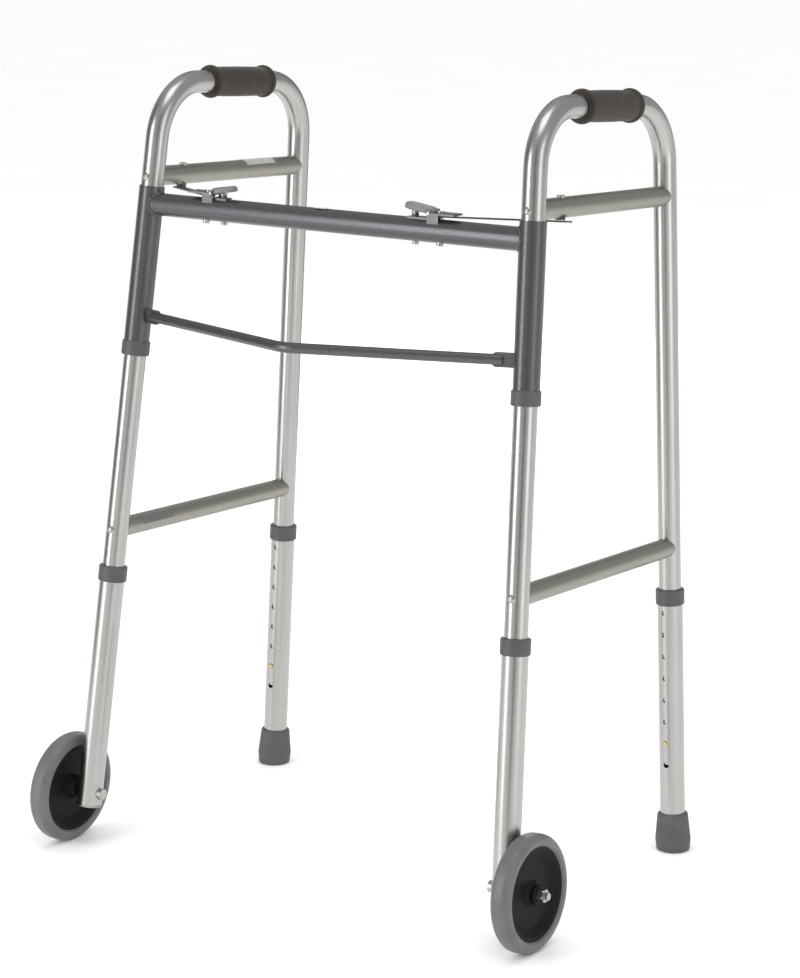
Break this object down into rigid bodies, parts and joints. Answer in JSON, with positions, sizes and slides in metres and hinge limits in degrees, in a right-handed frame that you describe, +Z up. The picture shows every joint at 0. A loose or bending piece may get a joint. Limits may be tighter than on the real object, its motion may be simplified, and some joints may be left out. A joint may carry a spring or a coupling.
{
  "type": "front wheeled walker",
  "caption": "Folding aluminium walking frame with front wheels, rear rubber tips, telescoping legs and a crossbar with a fold latch at each side.",
  "frame": {"origin": "on the floor, under the middle of the whole frame's box", "axes": "+Z up, -Y the way the user walks, +X the user's right"},
  "size_m": [0.6712, 0.4502, 0.8829],
  "materials": {
    "anodised": "satin anodised",
    "hammertone": "hammertone grey powder coat",
    "zinc": "bright zinc plate",
    "spring_steel": "bright spring steel",
    "brass": "bright",
    "grey_plastic": "moulded, fine grain",
    "paddle_plastic": "moulded, fine grain",
    "black_plastic": "moulded, semi gloss",
    "grip_foam": "soft vinyl foam",
    "tip_rubber": "moulded rubber",
    "tyre": "moulded grey polyurethane"
  },
  "bodies": {
    "front_brace": {"crossbar": "hammertone", "right_sleeve": "hammertone", "left_sleeve": "hammertone", "lower_rail": "hammertone", "right_latch_bracket": "zinc", "left_latch_bracket": "zinc", "link_pivot_rivets": "zinc", "paddle_pins": "zinc", "right_latch_spring": "spring_steel", "left_latch_spring": "spring_steel"},
    "right_side": {"right_side_tube": "anodised", "right_upper_brace": "anodised", "right_lower_brace": "anodised", "right_brace_rivets": "zinc", "right_hand_grip": "grip_foam", "right_sleeve_collar": "grey_plastic", "right_link_bolt": "zinc", "right_link_spacer": "grey_plastic", "right_snap_springs": "spring_steel"},
    "right_link": {"right_link_arm": "zinc"},
    "right_paddle": {"right_latch_paddle": "paddle_plastic"},
    "right_stud": {"right_latch_stud": "zinc"},
    "right_front_extension": {"right_front_extension_tube": "anodised", "right_front_extension_collar": "grey_plastic", "right_end_plug": "zinc", "right_wheel_bush": "black_plastic", "right_axle_bolt": "zinc", "right_axle_nut": "zinc"},
    "right_rear_extension": {"right_rear_extension_tube": "anodised", "right_rear_extension_collar": "grey_plastic", "right_rear_tip": "tip_rubber"},
    "right_front_button": {"right_front_snap_button": "brass"},
    "right_rear_button": {"right_rear_snap_button": "brass"},
    "right_wheel": {"right_tyre": "tyre", "right_wheel_hub": "black_plastic"},
    "left_side": {"left_side_tube": "anodised", "left_upper_brace": "anodised", "left_lower_brace": "anodised", "left_brace_rivets": "zinc", "left_hand_grip": "grip_foam", "left_sleeve_collar": "grey_plastic", "left_link_bolt": "zinc", "left_link_spacer": "grey_plastic", "left_snap_springs": "spring_steel"},
    "left_link": {"left_link_arm": "zinc"},
    "left_paddle": {"left_latch_paddle": "paddle_plastic"},
    "left_stud": {"left_latch_stud": "zinc"},
    "left_front_extension": {"left_front_extension_tube": "anodised", "left_front_extension_collar": "grey_plastic", "left_end_plug": "zinc", "left_wheel_bush": "black_plastic", "left_axle_bolt": "zinc", "left_axle_nut": "zinc"},
    "left_rear_extension": {"left_rear_extension_tube": "anodised", "left_rear_extension_collar": "grey_plastic", "left_rear_tip": "tip_rubber"},
    "left_front_button": {"left_front_snap_button": "brass"},
    "left_rear_button": {"left_rear_snap_button": "brass"},
    "left_wheel": {"left_tyre": "tyre", "left_wheel_hub": "black_plastic"}
  },
  "joints": [
    {"name": "right_fold", "type": "hinge", "parent": "front_brace", "child": "right_side", "pos_m": [0.2849, -0.16942, 0], "axis": [-0.0453, 0.135, 0.9898], "range_deg": [0, 63]},
    {"name": "right_link_pivot", "type": "hinge", "parent": "front_brace", "child": "right_link", "pos_m": [0.13827, -0.06915, 0.75043], "axis": [-0.0453, 0.135, 0.9898], "range_deg": [-4.19, 0]},
    {"name": "right_paddle_press", "type": "hinge", "parent": "front_brace", "child": "right_paddle", "pos_m": [0.12877, -0.06915, 0.75453], "axis": [0, -1, 0], "range_deg": [0, 5], "stiffness_Nm_per_rad": 0.6, "springref_deg": -2.86},
    {"name": "right_stud_press", "type": "slide", "parent": "front_brace", "child": "right_stud", "axis": [0, 0, -1], "range_m": [0, 0.002], "deforming": ["right_latch_spring"]},
    {"name": "right_front_height", "type": "slide", "parent": "right_side", "child": "right_front_extension", "axis": [0.0453, -0.135, -0.9898], "range_m": [0, 0.1524]},
    {"name": "right_front_button_press", "type": "slide", "parent": "right_side", "child": "right_front_button", "axis": [-0.0062, -0.9908, 0.1349], "range_m": [0, 0.0042], "stiffness_N_per_m": 1500, "springref_m": -0.002, "deforming": ["right_snap_springs"]},
    {"name": "right_rear_height", "type": "slide", "parent": "right_side", "child": "right_rear_extension", "axis": [0.0457, -0.0166, -0.9988], "range_m": [0, 0.1524]},
    {"name": "right_rear_button_press", "type": "slide", "parent": "right_side", "child": "right_rear_button", "axis": [0.0008, 0.9999, -0.0166], "range_m": [0, 0.0042], "stiffness_N_per_m": 1500, "springref_m": -0.002, "deforming": ["right_snap_springs"]},
    {"name": "right_wheel_spin", "type": "hinge", "parent": "right_front_extension", "child": "right_wheel", "pos_m": [0.31153, -0.16094, 0.06344], "axis": [0.999, 0, 0.0457], "continuous": true},
    {"name": "left_fold", "type": "hinge", "parent": "front_brace", "child": "left_side", "pos_m": [-0.2849, -0.16942, 0], "axis": [-0.0453, -0.135, -0.9898], "range_deg": [0, 77]},
    {"name": "left_link_pivot", "type": "hinge", "parent": "front_brace", "child": "left_link", "pos_m": [-0.16827, -0.06915, 0.75043], "axis": [-0.0453, -0.135, -0.9898], "range_deg": [-8.87, 0]},
    {"name": "left_paddle_press", "type": "hinge", "parent": "front_brace", "child": "left_paddle", "pos_m": [-0.15877, -0.06915, 0.75453], "axis": [0, 1, 0], "range_deg": [0, 10], "stiffness_Nm_per_rad": 0.6, "springref_deg": -2.86},
    {"name": "left_stud_press", "type": "slide", "parent": "front_brace", "child": "left_stud", "axis": [0, 0, -1], "range_m": [0, 0.002], "deforming": ["left_latch_spring"]},
    {"name": "left_front_height", "type": "slide", "parent": "left_side", "child": "left_front_extension", "axis": [-0.0453, -0.135, -0.9898], "range_m": [0, 0.1524]},
    {"name": "left_front_button_press", "type": "slide", "parent": "left_side", "child": "left_front_button", "axis": [0.0062, -0.9908, 0.1349], "range_m": [0, 0.0042], "stiffness_N_per_m": 1500, "springref_m": -0.002, "deforming": ["left_snap_springs"]},
    {"name": "left_rear_height", "type": "slide", "parent": "left_side", "child": "left_rear_extension", "axis": [-0.0457, -0.0166, -0.9988], "range_m": [0, 0.1524]},
    {"name": "left_rear_button_press", "type": "slide", "parent": "left_side", "child": "left_rear_button", "axis": [-0.0008, 0.9999, -0.0166], "range_m": [0, 0.0042], "stiffness_N_per_m": 1500, "springref_m": -0.002, "deforming": ["left_snap_springs"]},
    {"name": "left_wheel_spin", "type": "hinge", "parent": "left_front_extension", "child": "left_wheel", "pos_m": [-0.31153, -0.16094, 0.06344], "axis": [0.999, 0, -0.0457], "continuous": true}
  ],
  "couplings": [
    {"joint": "right_link_pivot", "follows": "right_fold", "ratio": -0.06331},
    {"joint": "right_stud_press", "follows": "right_paddle_press", "m_per_rad": 0.0225},
    {"joint": "left_link_pivot", "follows": "left_fold", "ratio": -0.1126},
    {"joint": "left_stud_press", "follows": "left_paddle_press", "m_per_rad": 0.011}
  ]
}
